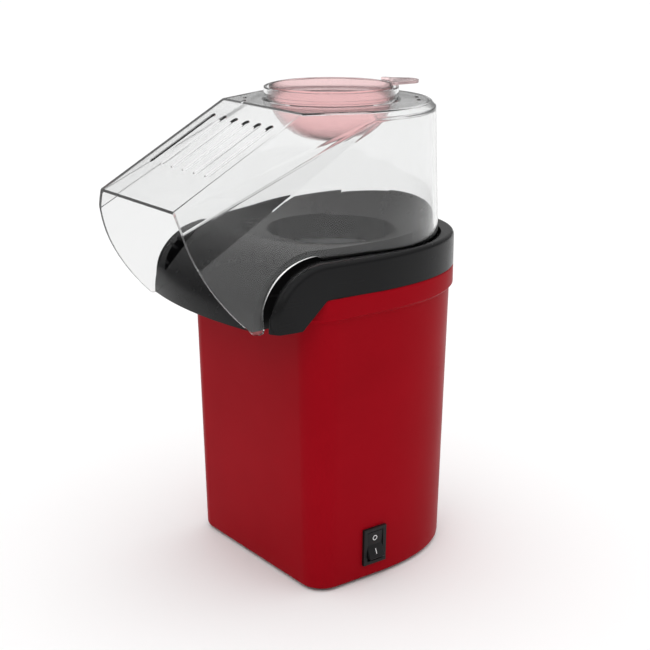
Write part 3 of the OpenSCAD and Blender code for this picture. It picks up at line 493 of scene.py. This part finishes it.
def buildTurnedSet():
    # Geometry Nodes: a turned solid, such as a screw or a foot, on every point of a mesh
    tree = newTree("turnedSet", "GeometryNodeTree")
    addSocket(tree, "Geometry", "NodeSocketGeometry")
    addSocket(tree, "Low radius", "NodeSocketFloat", value=0.003)
    addSocket(tree, "High radius", "NodeSocketFloat", value=0.003)
    addSocket(tree, "Height", "NodeSocketFloat", value=0.002)
    addSocket(tree, "Shank radius", "NodeSocketFloat", value=0.00125)
    addSocket(tree, "Shank length", "NodeSocketFloat", value=0.01)
    addSocket(tree, "Recess width", "NodeSocketFloat", value=0.0007)
    addSocket(tree, "Recess length", "NodeSocketFloat", value=0.0036)
    addSocket(tree, "Recess depth", "NodeSocketFloat", value=0.0008)
    addSocket(tree, "Turn", "NodeSocketVector", value=(0, 0, 0))
    addSocket(tree, "Material", "NodeSocketMaterial")
    addSocket(tree, "Geometry", "NodeSocketGeometry", "OUTPUT")
    n, l = tree.nodes, tree.links
    inp, out = n.new("NodeGroupInput"), n.new("NodeGroupOutput")
    head, shank = n.new("GeometryNodeMeshCone"), n.new("GeometryNodeMeshCylinder")
    head.inputs["Vertices"].default_value, shank.inputs["Vertices"].default_value = 40, 24
    l.new(inp.outputs["Low radius"], head.inputs["Radius Bottom"])
    l.new(inp.outputs["High radius"], head.inputs["Radius Top"])
    l.new(inp.outputs["Height"], head.inputs["Depth"])
    l.new(inp.outputs["Shank radius"], shank.inputs["Radius"])
    l.new(inp.outputs["Shank length"], shank.inputs["Depth"])
    lift, sunk = n.new("ShaderNodeCombineXYZ"), n.new("ShaderNodeMath")
    sunk.operation = "MULTIPLY_ADD"; sunk.inputs[1].default_value = 0.5
    l.new(inp.outputs["Shank length"], sunk.inputs[0]); l.new(inp.outputs["Height"], sunk.inputs[2])
    l.new(sunk.outputs[0], lift.inputs["Z"])
    move = n.new("GeometryNodeTransform")
    l.new(shank.outputs[0], move.inputs["Geometry"]); l.new(lift.outputs[0], move.inputs["Translation"])
    barSize, crossSize = n.new("ShaderNodeCombineXYZ"), n.new("ShaderNodeCombineXYZ")
    deep = n.new("ShaderNodeMath"); deep.operation = "MULTIPLY"; deep.inputs[1].default_value = 2.0
    l.new(inp.outputs["Recess depth"], deep.inputs[0])
    for size, x, y in ((barSize, "Recess length", "Recess width"), (crossSize, "Recess width", "Recess length")):
        l.new(inp.outputs[x], size.inputs["X"]); l.new(inp.outputs[y], size.inputs["Y"]); l.new(deep.outputs[0], size.inputs["Z"])
    bar, cross = n.new("GeometryNodeMeshCube"), n.new("GeometryNodeMeshCube")
    l.new(barSize.outputs[0], bar.inputs["Size"]); l.new(crossSize.outputs[0], cross.inputs["Size"])
    solid, cut = n.new("GeometryNodeMeshBoolean"), n.new("GeometryNodeMeshBoolean")
    solid.operation, cut.operation = "UNION", "DIFFERENCE"
    l.new(head.outputs["Mesh"], solid.inputs["Mesh 2"]); l.new(move.outputs[0], solid.inputs["Mesh 2"])
    l.new(solid.outputs["Mesh"], cut.inputs["Mesh 1"])
    l.new(bar.outputs["Mesh"], cut.inputs["Mesh 2"]); l.new(cross.outputs["Mesh"], cut.inputs["Mesh 2"])
    spots, real, paint = n.new("GeometryNodeInstanceOnPoints"), n.new("GeometryNodeRealizeInstances"), n.new("GeometryNodeSetMaterial")
    l.new(inp.outputs["Geometry"], spots.inputs["Points"])
    l.new(cut.outputs["Mesh"], spots.inputs["Instance"])
    l.new(inp.outputs["Turn"], spots.inputs["Rotation"])
    l.new(spots.outputs[0], real.inputs[0])
    l.new(real.outputs[0], paint.inputs["Geometry"]); l.new(inp.outputs["Material"], paint.inputs["Material"])
    l.new(paint.outputs[0], out.inputs[0])
    return tree


slotRow, turnedSet = buildSlotRow(), buildTurnedSet()


def grown(name, tree, points, **values):
    # runs a Geometry Nodes tree on a set of points and keeps the result as a plain mesh
    base = meshObject(name, points or [(0, 0, 0)], [])
    step = base.modifiers.new(tree.name, "NODES")
    step.node_group = tree
    ids = {s.name: s.identifier for s in tree.interface.items_tree if s.in_out == "INPUT"}
    for key, value in values.items():
        step[ids[key.replace("_", " ")]] = value
    return applyModifiers(base)


# red housing: a shell lofted from its plan, up to the flared band
housing = {"halfWidth": 58.5, "front": 53.3, "rear": 62.5, "corner": 13, "power": 2.3, "sideEnd": 15, "lean": 1.25, "wall": 2.2,
           "bottom": 1.6, "top": 162.7, "frontDrop": 13.5, "stepStart": 48.8, "stepRun": 14.5, "flare": 1.7, "flareHeight": 12.2}
leanRate = math.tan(math.radians(housing["lean"]))
bandGrow = housing["top"] * leanRate + housing["flare"]


def rearArc(width, depth, step=3):
    made = []
    for a in range(0, 181, step):
        c, s = math.cos(math.radians(a)), math.sin(math.radians(a))
        k = 2 / housing["power"]
        made.append((width * math.copysign(abs(c) ** k, c), -housing["sideEnd"] + depth * abs(s) ** k))
    return made


def housingPlan(g):
    h = housing
    arc = [(h["halfWidth"] - h["corner"] + (h["corner"] + g) * math.cos(math.radians(a)),
            -(h["front"] - h["corner"]) + (h["corner"] + g) * math.sin(math.radians(a))) for a in range(-90, 1, 5)]
    rear = rearArc(h["halfWidth"] + g, h["rear"] + h["sideEnd"] + g)
    side = [(arc[-1][0] + (rear[0][0] - arc[-1][0]) * t, arc[-1][1] + (rear[0][1] - arc[-1][1]) * t) for t in (0.25, 0.5, 0.75)]
    flat = [(arc[0][0] * t, arc[0][1]) for t in (-0.6, -0.2, 0.2, 0.6)]
    left = [(-x, y) for x, y in reversed(arc)]
    return arc + side + rear + [(-x, y) for x, y in reversed(side)] + left + flat


def topEdge(y):
    # the top edge runs level, then steps down at the front
    drop = min(max((-y - housing["stepStart"]) / housing["stepRun"], 0), 1)
    return housing["top"] - housing["frontDrop"] * drop


def housingRow(g, z=None, below=0.0):
    return [place(x, y, z if z is not None else topEdge(y) - below) for x, y in housingPlan(g)]


bandStart = housing["top"] - housing["flareHeight"]
rows = [housingRow(-1.6, 1.6), housingRow(-1.1, 1.65), housingRow(-0.45, 1.95), housingRow(-0.08, 2.6), housingRow(3.6 * leanRate, 3.6)]
rows += [housingRow(z * leanRate, z) for z in (10, 40, 75, 110, 140, 149.6, bandStart - 0.25)]
rows += [housingRow(bandStart * leanRate + out, bandStart + up) for up, out in ((0.05, 0.1), (0.35, 0.45), (0.7, 0.95), (1.05, 1.4), (1.4, 1.62))]
rows += [housingRow(bandGrow, bandStart + 1.75)]
rows += [housingRow(bandGrow - inset, below=down) for inset, down in ((0, 1.0), (0.1, 0.5), (0.35, 0.15), (0.8, 0.0))]
innerTop = housing["top"] * leanRate - housing["wall"]
rows += [housingRow(innerTop + 0.3, below=0.0), housingRow(innerTop, below=0.4), housingRow(innerTop - 1.4, 100), housingRow(-2.2, 1.6)]
verts, faces = loftRings(rows, True, "loop")
shell = meshObject("housingShell", verts, faces)
cleanMesh(shell)
airSlots = {"count": 7, "lowest": 34, "pitch": 7, "length": 44, "width": 3}
cutter = grown("airSlotCutter", slotRow, None, Count=airSlots["count"], Step=(airSlots["pitch"] * mm, 0, 0), Length=airSlots["length"] * mm,
               Width=airSlots["width"] * mm, Depth=0.03, Material=finishes["red_plastic"])
cutter.data.transform(Matrix.Translation(place(0, housing["rear"] - 15, airSlots["lowest"] + 3 * airSlots["pitch"]))
                      @ Matrix.Rotation(math.radians(-90), 4, "X") @ Matrix.Rotation(math.radians(90), 4, "Z"))
cleanMesh(cutter)
combine(shell, cutter, "DIFFERENCE")
bodyLow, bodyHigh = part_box("switch_body")
combine(shell, boxPiece("switchCutter", (50, -15.7 - 6.6, 20 - 9.6), (70, -15.7 + 6.6, 20 + 9.6)), "DIFFERENCE")
glandCutter = meshObject("glandCutter", *[x for x in loftRings([[place(5.4 * math.cos(a * math.pi / 24), y, 18 + 5.4 * math.sin(a * math.pi / 24))
                                                               for a in range(48)] for y in (80, 50)], True, True)])
cleanMesh(glandCutter)
combine(shell, glandCutter, "DIFFERENCE")
finishPiece(shell, "red_plastic", "root", "red_plastic", "outer_housing", angle=38)

# black collar: one section carried round the rim and down the two arms, with a rounded upper edge
collar = {"height": 18.6, "front": 79, "tipHalfWidth": 60.8, "armInner": 54.2, "bend": 30.4, "grooveRadius": 59.6, "floorDrop": 5.3,
          "floorHole": 38.5, "roundness": 3.0, "tipRadius": 6}
collarTop = housing["top"] + collar["height"]
bendY, bendZ = -(collar["front"] - collar["bend"]), collarTop - collar["bend"]
floorZ = collarTop - collar["floorDrop"]
sideX = housing["halfWidth"] + bandGrow


def armOuter(y):
    run = (-housing["sideEnd"] - y) / (collar["front"] - collar["tipRadius"] - housing["sideEnd"])
    x = sideX + (collar["tipHalfWidth"] - sideX) * min(max(run, 0), 1)
    over = -(y + collar["front"] - collar["tipRadius"])
    if over > 0:
        x -= collar["tipRadius"] - math.sqrt(max(collar["tipRadius"] ** 2 - over ** 2, 0))
    return x


def roundedTop(width, radius, top):
    # (distance in from the outside, height) points over the collar's rounded rim
    made = [(radius - radius * math.cos(math.radians(a)), top - radius + radius * math.sin(math.radians(a))) for a in (0, 15, 30, 45, 60, 75, 90)]
    return made + [(width - 0.8, top - 0.05), (width - 0.25, top - 0.25), (width, top - 0.8)]


def levelSection(outer, inner):
    o, i = Vector((*outer, 0)), Vector((*inner, 0))
    way, width = (i - o).normalized(), (i - o).length
    hole = i.normalized() * collar["floorHole"]
    rim = roundedTop(width, collar["roundness"], collarTop)
    points = [(0, housing["top"] + 0.05), (0, housing["top"] + 6)] + rim + [(width, floorZ)]
    made = [place(*(o + way * s).xy, z) for s, z in points]
    made += [place(*hole.xy, floorZ), place(*hole.xy, floorZ - 2)]
    made += [place(*(o + way * s).xy, z) for s, z in ((5.7, floorZ - 2), (5.7, housing["top"] - 4), (4.1, housing["top"] - 4), (4.1, housing["top"] + 0.05))]
    return made


def armSection(side, angle=None, z=None):
    c, s = (math.cos(math.radians(angle)), math.sin(math.radians(angle))) if angle else (-1, 0)
    low = 11.986 / (s + 0.931 * abs(c)) if z is None else 0.2 + (11.8 - (z - bendZ)) * 14.5 / 13.5
    rim = roundedTop(armOuter(bendY + collar["bend"] * c) - collar["armInner"], collar["roundness"], collar["bend"])
    made = []
    for inset, reach in [(0, low), (0, low + 6)] + rim + [(None, low)] * 3 + [(4.5, low), (3.4, low), (2.2, low), (1.1, low)]:
        y = bendY + reach * c
        height = bendZ + reach * s if z is None else z
        x = collar["armInner"] if inset is None else max(armOuter(y) - inset, collar["armInner"])
        made.append(place(side * x, y, height))
    return made


def grooveLine(radius, halfWidth):
    # the hood's groove: round at the back, straight to the arms
    px, py = halfWidth, bendY + 1
    touch = math.atan2(py, px) + math.acos(radius / math.hypot(px, py))
    return [(halfWidth, bendY), (px, py)] + [(radius * math.cos(a), radius * math.sin(a))
                                             for a in [touch + (math.pi - 2 * touch) * k / 90 for k in range(91)]] + [(-px, py), (-halfWidth, bendY)]


outerLine = [(armOuter(y), y) for y in (bendY, -40, -30, -20)] + rearArc(sideX, housing["rear"] + housing["sideEnd"] + bandGrow, 2)
outerLine += [(-x, y) for x, y in reversed(outerLine[:4])]
outerPoints, innerPoints = alongLine(outerLine, 150), alongLine(grooveLine(collar["grooveRadius"], collar["armInner"]), 150)
angles = [90 + 90 * k / 16 for k in range(17)]
arm = [armSection(1, z=z) for z in (149.2, 149.6, 150.2)] + [armSection(1, a) for a in reversed(angles)]
rings = arm + [levelSection(o, i) for o, i in zip(outerPoints, innerPoints)]
rings += [armSection(-1, a) for a in angles] + [armSection(-1, z=z) for z in (150.2, 149.6, 149.2)]
verts, faces = loftRings(rings, True, True)
rim = meshObject("collarRim", verts, faces)
cleanMesh(rim, 0.00002)
finishPiece(rim, "gloss_black", "root", "gloss_black", "top_collar", angle=40)

# black deck and chute
deck = copyOfNode("chute_deck", "deckAndChute")
finishPiece(deck, "gloss_black", "root", "gloss_black", "chute_deck", angle=24)

# clear hood: two rounded hulls, one inside the other, trimmed to the open front
hood = {"base": 178.0, "top": 252.0, "radius": 58.3, "draft": 3.2, "roofHalfWidth": 36.7, "roofFront": 119.3, "roofDrop": 40.0, "ridge": 44.8,
        "wall": 1.8, "frontHalfWidth": 50.5, "tongue": 79.5, "toe": 0.085, "softness": 4.0}


def hoodForm(name, g, past, rounding):
    h = hood
    topZ, roofZ = h["top"] - g - 0.1, h["top"] - h["roofDrop"] - 0.9 * g
    run, side = past * h["roofDrop"] / (h["roofFront"] - h["ridge"]), -g - past * h["toe"]
    front = 149.2
    points = []
    for r, z in ((h["radius"] - g, h["base"] - past * g), (h["radius"] - h["draft"] * 0.8 - g, topZ - 3), (h["radius"] - h["draft"] - 2.2 - g, topZ)):
        edge = math.asin(-12 / r)
        points += [(r * math.cos(a), r * math.sin(a), z) for a in [edge + (math.pi - 2 * edge) * k / 144 for k in range(145)]]
    for x, y, z in ((h["roofHalfWidth"] - g, -h["ridge"], topZ), (h["roofHalfWidth"] + side, -h["roofFront"] - past, roofZ - run),
                    (h["roofHalfWidth"] + 5 + side, -h["roofFront"] + 2 - past, roofZ - 9 - run),
                    (h["roofHalfWidth"] + 8.6 + side, -h["roofFront"] + 8 - past, roofZ - 28 - run),
                    (h["frontHalfWidth"] + side, -h["tongue"] - 8 - past, front - 1 - past), (h["frontHalfWidth"] - g, -h["tongue"], front - 1 - past)):
        points += [(x, y, z), (-x, y, z)]
    bm = bmesh.new()
    for p in points:
        bm.verts.new(place(*p))
    made = bmesh.ops.convex_hull(bm, input=bm.verts)
    bmesh.ops.delete(bm, geom=[v for v in set(made["geom_interior"] + made["geom_unused"]) if isinstance(v, bmesh.types.BMVert)], context="VERTS")
    bmesh.ops.dissolve_limit(bm, angle_limit=math.radians(0.4), verts=bm.verts, edges=bm.edges)
    bmesh.ops.recalc_face_normals(bm, faces=bm.faces)
    edges = [e for e in bm.edges if len(e.link_faces) == 2 and e.calc_face_angle() > math.radians(13)
             and min(v.co.z for v in e.verts) > (h["base"] + 8) * mm]
    bmesh.ops.bevel(bm, geom=edges, offset=rounding * mm, segments=9, profile=0.5, affect="EDGES", clamp_overlap=True)
    mesh = bpy.data.meshes.new(name)
    bm.to_mesh(mesh)
    bm.free()
    piece = bpy.data.objects.new(name, mesh)
    bpy.context.scene.collection.objects.link(piece)
    return piece


def bent(a, b, c, t):
    return tuple((1 - t) ** 2 * p + 2 * t * (1 - t) * q + t * t * r for p, q, r in zip(a, b, c))


def hoodSide():
    # side outline of the hood, as (y, z)
    roof, tip = (-hood["roofFront"], hood["top"] - hood["roofDrop"]), (-hood["tongue"] - 5.5, 148.6)
    radius = collar["bend"] + 2.2
    made = [(housing["rear"], hood["base"]), (housing["rear"], hood["top"] + 1), (-hood["ridge"], hood["top"] + 1), (roof[0], roof[1] + 1)]
    made += [bent(roof, (roof[0] + 1.3, roof[1] - 32), tip, t / 24) for t in range(25)]
    made += [(-hood["tongue"] - 2.5, 148.2), (-hood["tongue"] - 0.4, 148.8), (-hood["tongue"], 150.2)]
    made += [(bendY + radius * math.cos(math.radians(a)), bendZ + radius * math.sin(math.radians(a))) for a in range(162, 89, -3)]
    return made + [(bendY + 3, collarTop), (bendY + 5, hood["base"])]


clear = combine(hoodForm("clearHoodShell", 0, 4, hood["softness"]), hoodForm("hoodInside", hood["wall"], 4.6, hood["softness"] - 1.4), "DIFFERENCE")
sideWay = Matrix(((0, 0, 1, -100), (1, 0, 0, 0), (0, 1, 0, 0), (0, 0, 0, 1)))
combine(clear, extrudeOutline("hoodTrim", hoodSide(), 200, sideWay), "INTERSECT")
ventSlots = {"count": 6, "pitch": 10.6, "length": 45, "width": 4, "share": 0.42}
slope = math.atan(hood["roofDrop"] / (hood["roofFront"] - hood["ridge"]))
roofLength = (hood["roofFront"] - hood["ridge"]) / math.cos(slope)
onSlope = Matrix.Translation(place(0, -hood["ridge"], hood["top"])) @ Matrix.Rotation(slope, 4, "X")
vents = grown("ventCutter", slotRow, None, Count=ventSlots["count"], Step=(ventSlots["pitch"] * mm, 0, 0), Length=ventSlots["length"] * mm,
              Width=ventSlots["width"] * mm, Depth=0.012, Material=finishes["clear_plastic"])
vents.data.transform(onSlope @ Matrix.Translation((0, -ventSlots["share"] * roofLength * mm, -0.006)))
cleanMesh(vents)
combine(clear, vents, "DIFFERENCE")
seat = {"radius": 35.9, "wall": 1.6, "height": 6.9, "ledge": 0.9}
for turn in (55, 235):  # small catches beside the seat
    catches = grown("catchCutter", slotRow, None, Count=2, Step=(0, 0.012, 0), Length=0.005, Width=0.002, Depth=0.012, Material=finishes["clear_plastic"])
    catches.data.transform(Matrix.Translation(place(0, 0, hood["top"] - 6)) @ Matrix.Rotation(math.radians(turn), 4, "Z") @ Matrix.Translation((0.046, 0, 0)))
    cleanMesh(catches)
    combine(clear, catches, "DIFFERENCE")
hole = meshObject("seatHole", *loftRings([[place(34.9 * math.cos(a * math.pi / 64), 34.9 * math.sin(a * math.pi / 64), z) for a in range(128)]
                                          for z in (240, 262)], True, True))
cleanMesh(hole)
combine(clear, hole, "DIFFERENCE")
inner, top = seat["radius"] - seat["wall"], hood["top"] + seat["height"]
ringProfile = [(inner - seat["ledge"], 250.02), (inner - seat["ledge"], 253), (inner, 253), (inner, top - 0.5), (inner + 0.15, top - 0.15), (inner + 0.5, top),
               (seat["radius"] - 0.5, top), (seat["radius"] - 0.15, top - 0.15), (seat["radius"], top - 0.5), (seat["radius"], 253.2),
               (seat["radius"] + 0.25, 252.5), (seat["radius"] + 0.9, 252.06), (seat["radius"] + 0.9, 250.02)]
ring = meshObject("seatRing", *lathe(ringProfile, 128))
cleanMesh(ring)
combine(clear, ring, "UNION")
finishPiece(clear, "clear_plastic", "hood", "clear_plastic", "clear_hood", angle=3.2)  # flat panels stay flat

# measuring cup: a turned bowl with a finger tab
cup = {"depth": 29, "bottomRadius": 12, "wall": 1.6, "tabReach": 47.5, "tabAngle": 64, "tabThickness": 1.8, "top": top + 0.7,
       "radius": seat["radius"] - seat["wall"] - seat["ledge"] - 0.4}


def bowlLine(g, count=22):
    low, side = cup["top"] - cup["depth"], 250.0
    return [bent((cup["bottomRadius"] - g / 2, low + g), (cup["radius"] - 6 - g, low + g + 3), (cup["radius"] - g, side), t / count) for t in range(count + 1)]


outside = [(0, cup["top"] - cup["depth"])] + bowlLine(0)
outside += [(cup["radius"], 253.1), (cup["radius"] + 0.9, 253.1), (cup["radius"] + 0.9, 254.6), (cup["radius"], 254.6), (cup["radius"], cup["top"] - 0.4),
            (cup["radius"] - 0.12, cup["top"] - 0.1), (cup["radius"] - 0.4, cup["top"])]
inside = [(cup["radius"] - cup["wall"] + 0.4, cup["top"]), (cup["radius"] - cup["wall"], cup["top"] - 0.4)] + list(reversed(bowlLine(cup["wall"])))
inside += [(0, cup["top"] - cup["depth"] + cup["wall"])]
bowl = meshObject("measuringCup", *lathe(outside + inside, 128))
cleanMesh(bowl, 0.000005)
tabOutline = []
for a in range(-78, 79, 6):
    tabOutline.append((cup["tabReach"] - 8 + 8 * math.cos(math.radians(a)), 8 * math.sin(math.radians(a))))
back = cup["radius"] - cup["wall"] + 0.7
for x, y in ((back + 3, 10.2), (back + 0.2, 12.5), (back - 2.2, 12.8), (back, 6.5), (back + 0.6, 0), (back, -6.5), (back - 2.2, -12.8), (back + 0.2, -12.5), (back + 3, -10.2)):
    tabOutline.append((x, y))
tab = extrudeOutline("cupTab", tabOutline, cup["tabThickness"], Matrix.Rotation(math.radians(cup["tabAngle"]), 4, "Z") @ Matrix.Translation((0, 0, cup["top"] - 0.02)), 0.5, 3)
combine(bowl, tab, "UNION")
finishPiece(bowl, "pink_plastic", "cup", "pink_plastic", "measuring_cup", angle=32)

# switch: softened copies of the frame's pieces, with plain on and off marks
switchPlace = {"x": 58.5 + 20 * leanRate, "y": -15.7, "z": 20, "pivot": -2.2, "rest": -10}
bezel = copyOfNode("switch_body", "switchBezel", bevel=0.0005)
finishPiece(bezel, "switch_black", "root", "black_plastic", "switch_body", angle=30)
rocker = copyOfNode("switch_rocker", "switchRocker", bevel=0.00035, bevelAngle=20)
finishPiece(rocker, "switch_black", "rocker", "switch_black", "switch_rocker", angle=30)
onWall = (Matrix.Translation((switchPlace["x"], switchPlace["y"], switchPlace["z"])) @ Matrix.Rotation(math.radians(housing["lean"]), 4, "Y")
          @ Matrix.Translation((switchPlace["pivot"], 0, 0)) @ Matrix.Rotation(math.radians(switchPlace["rest"]), 4, "Y"))
faceTilt = math.atan2(1.8, 7.3)
for name, side in (("offMark", 1), ("onMark", -1)):
    spot = onWall @ Matrix.Translation((3.4 + 1.8 * 0.52, 0, side * 7.3 * 0.52)) @ Matrix.Rotation(side * faceTilt, 4, "Y")
    facing = spot @ Matrix(((0, 0, 1, -0.03), (1, 0, 0, 0), (0, 1, 0, 0), (0, 0, 0, 1)))
    if name == "onMark":
        mark = extrudeOutline(name, [(-0.22, -1.5), (0.22, -1.5), (0.22, 1.5), (-0.22, 1.5)], 0.09, facing)
    else:
        mark = extrudeOutline(name, [(1.5 * math.cos(a * math.pi / 20), 1.5 * math.sin(a * math.pi / 20)) for a in range(40)], 0.09, facing)
        middle = extrudeOutline("markMiddle", [(1.08 * math.cos(a * math.pi / 20), 1.08 * math.sin(a * math.pi / 20)) for a in range(40)], 0.4,
                                facing @ Matrix.Translation((0, 0, -0.15)))
        combine(mark, middle, "DIFFERENCE")
    finishPiece(mark, "white_mark", "rocker", "switch_black")

# rubber feet and screws, from one Geometry Nodes tree
h = housing
footSpots = [(s * (h["halfWidth"] - 16), -(h["front"] - 27)) for s in (-1, 1)] + [(s * (h["halfWidth"] - 30), h["rear"] - 20) for s in (-1, 1)]
bossSpots = [(s * (h["halfWidth"] - 14), -(h["front"] - 14)) for s in (-1, 1)] + [(s * 18, h["rear"] - 9.5) for s in (-1, 1)]
feet = grown("rubberFeet", turnedSet, [place(x, y, 0) for x, y in footSpots], Low_radius=0.006, High_radius=0.0068, Height=0.006, Shank_radius=0.0022,
             Shank_length=0.0025, Recess_width=0.0022, Recess_length=0.006, Recess_depth=0.0005, Material=finishes["rubber"])
finishPiece(feet, "rubber", "root", "rubber", "rubber_feet", angle=35)
baseScrews = grown("baseScrews", turnedSet, [place(x, y, 4.2) for x, y in bossSpots], Low_radius=0.0026, High_radius=0.003, Height=0.0018,
                   Shank_radius=0.00125, Shank_length=0.012, Material=finishes["screw_steel"])
finishPiece(baseScrews, "screw_steel", "root", "screw_steel", "base_screws", angle=35)


# floor and soft lights
stageSettings = {"floorSize": 40.0, "floorColour": (0.94, 0.94, 0.94), "low": 0.2, "high": 1.34}
half = stageSettings["floorSize"] / 2
floor = meshObject("floor", [(-half, -half, 0), (half, -half, 0), (half, half, 0), (-half, half, 0)], [(0, 1, 2, 3)])
floorPaint = bpy.data.materials.new("palePaper")
floorPaint.use_nodes = True
floorPaint.node_tree.nodes["Principled BSDF"].inputs["Base Color"].default_value = (*stageSettings["floorColour"], 1)
floorPaint.node_tree.nodes["Principled BSDF"].inputs["Roughness"].default_value = 0.9
floorPaint.node_tree.nodes["Principled BSDF"].inputs["Specular IOR Level"].default_value = 0.1
floor.data.materials.append(floorPaint)

# a studio that is bright overhead and dimmer round its sides
world = bpy.data.worlds.new("studio")
bpy.context.scene.world = world
world.use_nodes = True
n, l = world.node_tree.nodes, world.node_tree.links
direction, split, sky = n.new("ShaderNodeTexCoord"), n.new("ShaderNodeSeparateXYZ"), n.new("ShaderNodeMapRange")
l.new(direction.outputs["Generated"], split.inputs[0])
sky.inputs["From Min"].default_value, sky.inputs["From Max"].default_value = 0.05, 0.75
sky.inputs["To Min"].default_value, sky.inputs["To Max"].default_value = stageSettings["low"], stageSettings["high"]
l.new(split.outputs["Z"], sky.inputs["Value"])
l.new(sky.outputs[0], n["Background"].inputs["Strength"])
n["Background"].inputs["Color"].default_value = (1, 1, 1, 1)


def softBox(name, place, target, size, power):
    data = bpy.data.lights.new(name, "AREA")
    data.shape, data.size, data.size_y, data.energy = "RECTANGLE", size[0], size[1], power
    light = bpy.data.objects.new(name, data)
    light.location = place
    light.rotation_euler = (Vector(target) - Vector(place)).to_track_quat("-Z", "Y").to_euler()
    bpy.context.scene.collection.objects.link(light)


softBox("keyLight", (0.9, -0.9, 1.3), (0, 0, 0.12), (0.9, 0.9), 1.2)
softBox("topLight", (-0.2, 0.2, 1.5), (0, 0, 0.15), (1.2, 1.2), 0.8)
bpy.context.scene.view_settings.view_transform = "Standard"
print("stage ready")
